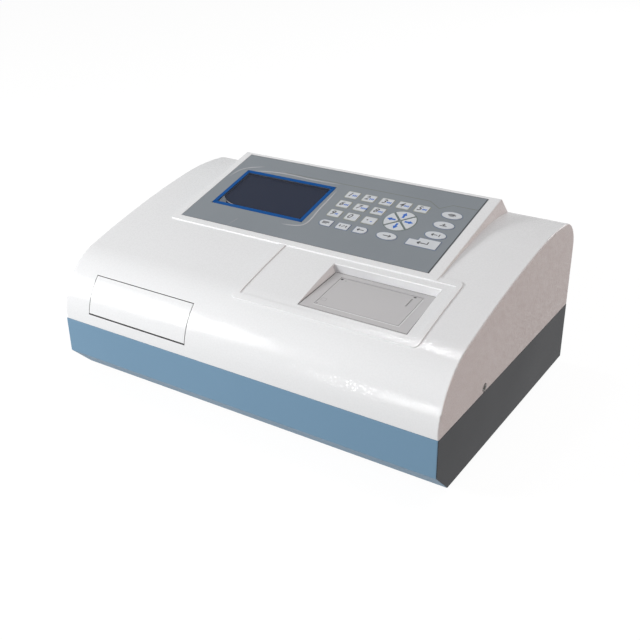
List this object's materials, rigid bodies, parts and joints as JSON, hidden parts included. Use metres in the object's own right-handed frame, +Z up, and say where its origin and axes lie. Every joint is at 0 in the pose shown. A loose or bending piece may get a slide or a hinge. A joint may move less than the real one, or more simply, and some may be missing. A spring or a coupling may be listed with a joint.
{
  "type": "microplate reader",
  "caption": "Bench microplate reader with a curved white housing, keypad console with screen, slip printer, and a front door for the plate carriage.",
  "frame": {"origin": "on the bench, under the middle of the whole machine's bounding box", "axes": "+X to the right across the front, +Y towards the back, +Z up; the plate door faces -Y"},
  "size_m": [0.45, 0.317, 0.1966],
  "materials": {
    "base_paint": "satin fine-textured paint",
    "housing_white": "glossy, faint orange peel",
    "door_white": "glossy",
    "rubber_black": "matt",
    "plated_screw": "plated",
    "panel_grey": "fine-textured polyester overlay",
    "border_blue": "printed",
    "screen_glass": "clear, glossy",
    "screen_dark": "matt",
    "board_green": "solder-masked circuit board",
    "key_white": "domed polyester",
    "printer_grey": "fine-grained",
    "roller_black": "matt rubber sleeve",
    "paper_white": "thermal paper",
    "head_ceramic": "machined heat sink",
    "tray_grey": "black anodised look",
    "steel_rod": "ground",
    "belt_black": "toothed belt",
    "pulley_metal": "machined",
    "motor_dark": "satin black",
    "deck_steel": "zinc plated",
    "optics_black": "black anodised",
    "filter_glass": "interference coated",
    "lamp_metal": "bare sheet",
    "supply_metal": "perforated can",
    "rear_metal": "satin paint",
    "fan_black": "moulded",
    "inlet_black": "moulded",
    "switch_black": "moulded",
    "port_plated": "plated"
  },
  "bodies": {
    "case": {"base_tray": "base_paint", "upper_housing": "housing_white", "feet": "rubber_black", "case_screws": "plated_screw", "control_panel": "panel_grey", "screen_window": "screen_glass", "screen_border": "border_blue", "lcd_module": "screen_dark", "keypad_board": "board_green", "printer_frame": "printer_grey", "print_head": "head_ceramic", "guide_rods": "steel_rod", "carriage_belt": "belt_black", "carriage_motor": "motor_dark", "transport_deck": "deck_steel", "scan_motor": "motor_dark", "main_board": "board_green", "power_supply": "supply_metal", "rear_panel": "rear_metal", "fan_frame": "fan_black", "power_inlet": "inlet_black", "data_port": "port_plated"},
    "plate_door": {"plate_door": "door_white"},
    "carriage": {"plate_carriage": "tray_grey"},
    "carriage_pulley": {"carriage_pulley": "pulley_metal"},
    "carriage_idler": {"carriage_idler": "pulley_metal"},
    "optics_head": {"optics_head": "optics_black", "lamp_housing": "lamp_metal", "filter_motor": "motor_dark"},
    "scan_screw": {"scan_screw": "steel_rod"},
    "filter_wheel": {"filter_wheel": "optics_black", "optical_filters": "filter_glass"},
    "fan_rotor": {"fan_rotor": "fan_black"},
    "power_switch": {"power_switch": "switch_black"},
    "printer_lid": {"printer_lid": "printer_grey"},
    "platen_roller": {"platen_roller": "roller_black"},
    "paper_roll": {"paper_roll": "paper_white"},
    "key_0": {"key_0": "key_white"},
    "key_1": {"key_1": "key_white"},
    "key_2": {"key_2": "key_white"},
    "key_3": {"key_3": "key_white"},
    "key_4": {"key_4": "key_white"},
    "key_5": {"key_5": "key_white"},
    "key_6": {"key_6": "key_white"},
    "key_7": {"key_7": "key_white"},
    "key_8": {"key_8": "key_white"},
    "key_9": {"key_9": "key_white"},
    "key_dot": {"key_dot": "key_white"},
    "key_mode": {"key_mode": "key_white"},
    "key_letter": {"key_letter": "key_white"},
    "key_delete": {"key_delete": "key_white"},
    "key_up": {"key_up": "key_white"},
    "key_down": {"key_down": "key_white"},
    "key_left": {"key_left": "key_white"},
    "key_right": {"key_right": "key_white"},
    "key_print": {"key_print": "key_white"},
    "key_save": {"key_save": "key_white"},
    "key_reset": {"key_reset": "key_white"},
    "key_send": {"key_send": "key_white"},
    "key_enter": {"key_enter": "key_white"}
  },
  "joints": [
    {"name": "carriage_slide", "type": "slide", "parent": "case", "child": "carriage", "axis": [0, -1, 0], "range_m": [0, 0.21]},
    {"name": "door_hinge", "type": "hinge", "parent": "case", "child": "plate_door", "pos_m": [-0.12385, -0.13823, 0.12165], "axis": [-1, 0, 0], "range_deg": [0, 78]},
    {"name": "pulley_spin", "type": "hinge", "parent": "case", "child": "carriage_pulley", "pos_m": [-0.208, 0.1245, 0.094], "axis": [1, 0, 0], "range_deg": [0, 1510]},
    {"name": "idler_spin", "type": "hinge", "parent": "case", "child": "carriage_idler", "pos_m": [-0.208, -0.1385, 0.094], "axis": [1, 0, 0], "range_deg": [0, 1510]},
    {"name": "scan_slide", "type": "slide", "parent": "case", "child": "optics_head", "axis": [1, 0, 0], "range_m": [0, 0.099]},
    {"name": "screw_spin", "type": "hinge", "parent": "case", "child": "scan_screw", "pos_m": [0, 0.0065, 0.06], "axis": [1, 0, 0], "range_deg": [0, 1790]},
    {"name": "filter_wheel_spin", "type": "hinge", "parent": "optics_head", "child": "filter_wheel", "pos_m": [-0.018, 0.0295, 0.084], "axis": [0, 1, 0], "continuous": true},
    {"name": "fan_spin", "type": "hinge", "parent": "case", "child": "fan_rotor", "pos_m": [-0.015, 0.145, 0.0415], "axis": [0, 1, 0], "continuous": true},
    {"name": "switch_rock", "type": "hinge", "parent": "case", "child": "power_switch", "pos_m": [0.142, 0.1504, 0.0415], "axis": [0, 0, -1], "range_deg": [0, 16]},
    {"name": "lid_hinge", "type": "hinge", "parent": "case", "child": "printer_lid", "pos_m": [0.109, -0.05581, 0.14758], "axis": [-1, 0, 0], "range_deg": [0, 85]},
    {"name": "platen_spin", "type": "hinge", "parent": "printer_lid", "child": "platen_roller", "pos_m": [0.109, -0.09813, 0.13615], "axis": [1, 0, 0], "continuous": true},
    {"name": "roll_spin", "type": "hinge", "parent": "case", "child": "paper_roll", "pos_m": [0.109, -0.06989, 0.1257], "axis": [1, 0, 0], "continuous": true},
    {"name": "key_0_press", "type": "slide", "parent": "case", "child": "key_0", "axis": [0, 0.2315, -0.9728], "range_m": [0, 0.0005], "stiffness_N_per_m": 2000},
    {"name": "key_1_press", "type": "slide", "parent": "case", "child": "key_1", "axis": [0, 0.2315, -0.9728], "range_m": [0, 0.0005], "stiffness_N_per_m": 2000},
    {"name": "key_2_press", "type": "slide", "parent": "case", "child": "key_2", "axis": [0, 0.2315, -0.9728], "range_m": [0, 0.0005], "stiffness_N_per_m": 2000},
    {"name": "key_3_press", "type": "slide", "parent": "case", "child": "key_3", "axis": [0, 0.2315, -0.9728], "range_m": [0, 0.0005], "stiffness_N_per_m": 2000},
    {"name": "key_4_press", "type": "slide", "parent": "case", "child": "key_4", "axis": [0, 0.2315, -0.9728], "range_m": [0, 0.0005], "stiffness_N_per_m": 2000},
    {"name": "key_5_press", "type": "slide", "parent": "case", "child": "key_5", "axis": [0, 0.2315, -0.9728], "range_m": [0, 0.0005], "stiffness_N_per_m": 2000},
    {"name": "key_6_press", "type": "slide", "parent": "case", "child": "key_6", "axis": [0, 0.2315, -0.9728], "range_m": [0, 0.0005], "stiffness_N_per_m": 2000},
    {"name": "key_7_press", "type": "slide", "parent": "case", "child": "key_7", "axis": [0, 0.2315, -0.9728], "range_m": [0, 0.0005], "stiffness_N_per_m": 2000},
    {"name": "key_8_press", "type": "slide", "parent": "case", "child": "key_8", "axis": [0, 0.2315, -0.9728], "range_m": [0, 0.0005], "stiffness_N_per_m": 2000},
    {"name": "key_9_press", "type": "slide", "parent": "case", "child": "key_9", "axis": [0, 0.2315, -0.9728], "range_m": [0, 0.0005], "stiffness_N_per_m": 2000},
    {"name": "key_dot_press", "type": "slide", "parent": "case", "child": "key_dot", "axis": [0, 0.2315, -0.9728], "range_m": [0, 0.0005], "stiffness_N_per_m": 2000},
    {"name": "key_mode_press", "type": "slide", "parent": "case", "child": "key_mode", "axis": [0, 0.2315, -0.9728], "range_m": [0, 0.0005], "stiffness_N_per_m": 2000},
    {"name": "key_letter_press", "type": "slide", "parent": "case", "child": "key_letter", "axis": [0, 0.2315, -0.9728], "range_m": [0, 0.0005], "stiffness_N_per_m": 2000},
    {"name": "key_delete_press", "type": "slide", "parent": "case", "child": "key_delete", "axis": [0, 0.2315, -0.9728], "range_m": [0, 0.0005], "stiffness_N_per_m": 2000},
    {"name": "key_up_press", "type": "slide", "parent": "case", "child": "key_up", "axis": [0, 0.2315, -0.9728], "range_m": [0, 0.0005], "stiffness_N_per_m": 2000},
    {"name": "key_down_press", "type": "slide", "parent": "case", "child": "key_down", "axis": [0, 0.2315, -0.9728], "range_m": [0, 0.0005], "stiffness_N_per_m": 2000},
    {"name": "key_left_press", "type": "slide", "parent": "case", "child": "key_left", "axis": [0, 0.2315, -0.9728], "range_m": [0, 0.0005], "stiffness_N_per_m": 2000},
    {"name": "key_right_press", "type": "slide", "parent": "case", "child": "key_right", "axis": [0, 0.2315, -0.9728], "range_m": [0, 0.0005], "stiffness_N_per_m": 2000},
    {"name": "key_print_press", "type": "slide", "parent": "case", "child": "key_print", "axis": [0, 0.2315, -0.9728], "range_m": [0, 0.0005], "stiffness_N_per_m": 2000},
    {"name": "key_save_press", "type": "slide", "parent": "case", "child": "key_save", "axis": [0, 0.2315, -0.9728], "range_m": [0, 0.0005], "stiffness_N_per_m": 2000},
    {"name": "key_reset_press", "type": "slide", "parent": "case", "child": "key_reset", "axis": [0, 0.2315, -0.9728], "range_m": [0, 0.0005], "stiffness_N_per_m": 2000},
    {"name": "key_send_press", "type": "slide", "parent": "case", "child": "key_send", "axis": [0, 0.2315, -0.9728], "range_m": [0, 0.0005], "stiffness_N_per_m": 2000},
    {"name": "key_enter_press", "type": "slide", "parent": "case", "child": "key_enter", "axis": [0, 0.2315, -0.9728], "range_m": [0, 0.0005], "stiffness_N_per_m": 2000}
  ],
  "couplings": [
    {"joint": "door_hinge", "follows": "carriage_slide", "rad_per_m": 6.4826},
    {"joint": "pulley_spin", "follows": "carriage_slide", "rad_per_m": 125},
    {"joint": "idler_spin", "follows": "carriage_slide", "rad_per_m": 125},
    {"joint": "screw_spin", "follows": "scan_slide", "rad_per_m": 314.16}
  ]
}
